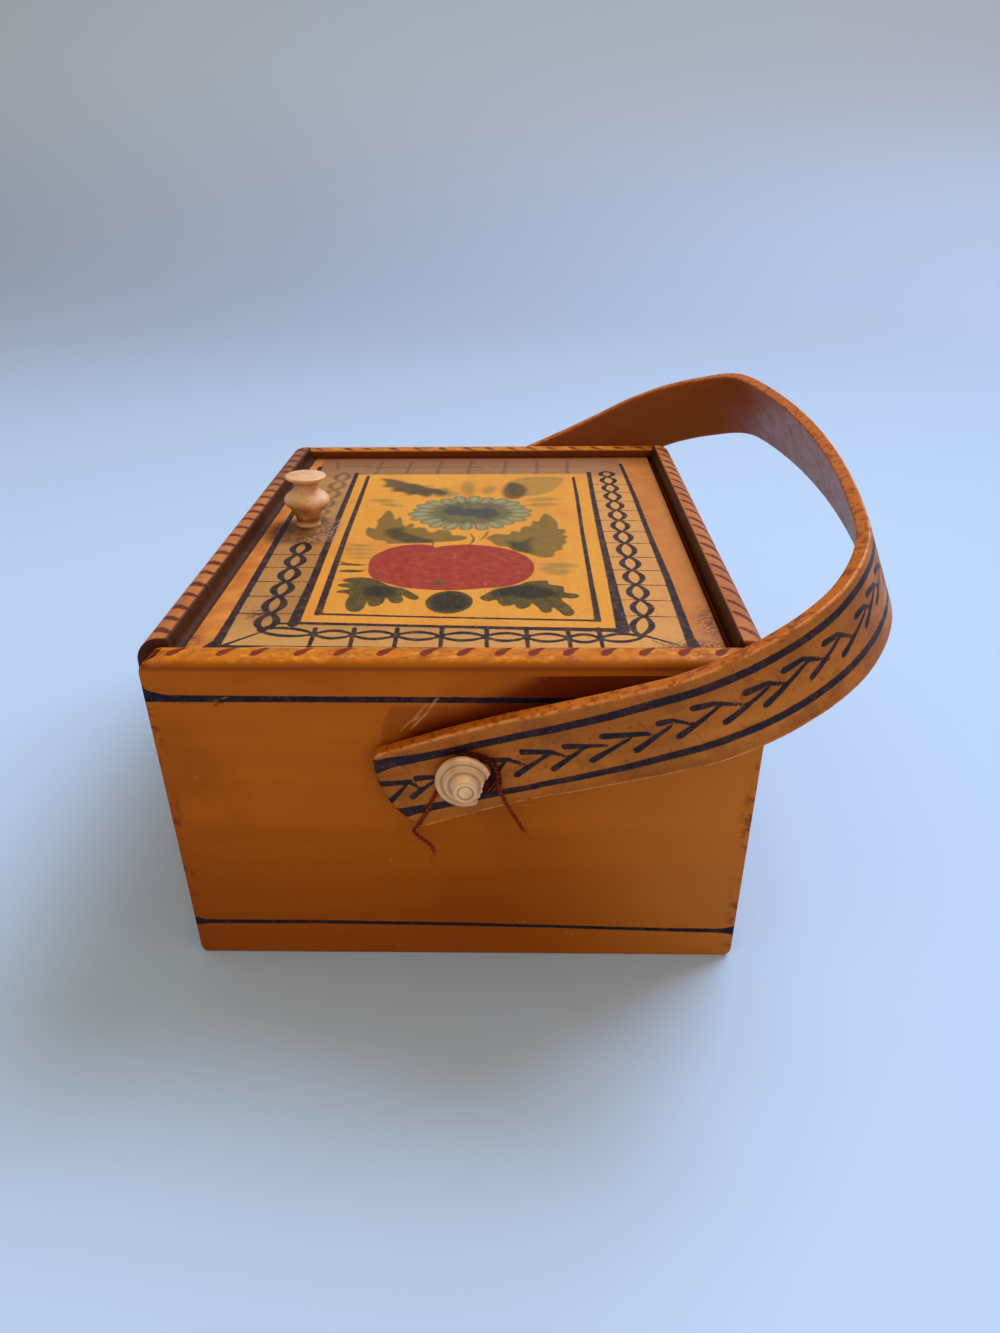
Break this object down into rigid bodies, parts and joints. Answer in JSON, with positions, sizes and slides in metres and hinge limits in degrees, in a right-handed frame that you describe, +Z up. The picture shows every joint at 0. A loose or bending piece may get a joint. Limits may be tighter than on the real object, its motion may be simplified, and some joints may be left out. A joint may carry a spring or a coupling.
{
  "type": "sewing box",
  "caption": "Small painted wooden sewing box with a sliding lid, turned knob and a bentwood handle that swings on turned studs.",
  "frame": {"origin": "middle of the base, on the surface that the box stands on", "axes": "+Z up, +X towards the end that the lid closes against, -Y towards the front board"},
  "size_m": [0.1457, 0.1726, 0.0936],
  "materials": {
    "case_wood": "aged orange-brown varnish over thin pale wood, with thin dark blue painted lines",
    "rail_wood": "aged varnish with slanting dark red painted dashes",
    "lid_wood": "aged varnish over a yellow ground, painted with a fruit and flower panel and chain borders",
    "handle_wood": "aged varnish, with two dark blue stripes and a row of brush strokes",
    "bare_wood": "unfinished, darkened with age",
    "bone": "turned and polished bone, satin",
    "thread": "twisted dark red sewing thread"
  },
  "bodies": {
    "case": {"front_board": "case_wood", "back_board": "case_wood", "left_board": "case_wood", "right_board": "case_wood", "bottom_board": "bare_wood", "right_rail": "rail_wood", "front_stud": "bone", "back_stud": "bone", "repair_thread": "thread"},
    "lid": {"lid_panel": "lid_wood", "lid_end_rail": "rail_wood", "lid_knob": "bone"},
    "handle": {"handle_band": "handle_wood"}
  },
  "joints": [
    {"name": "lid_slide", "type": "slide", "parent": "case", "child": "lid", "axis": [-1, 0, 0], "range_m": [-0.001, 0.092]},
    {"name": "handle_swing", "type": "hinge", "parent": "case", "child": "handle", "pos_m": [0.0014, 0, 0.0513], "axis": [0, -0.9991, -0.0419], "range_deg": [-47, 125]}
  ]
}
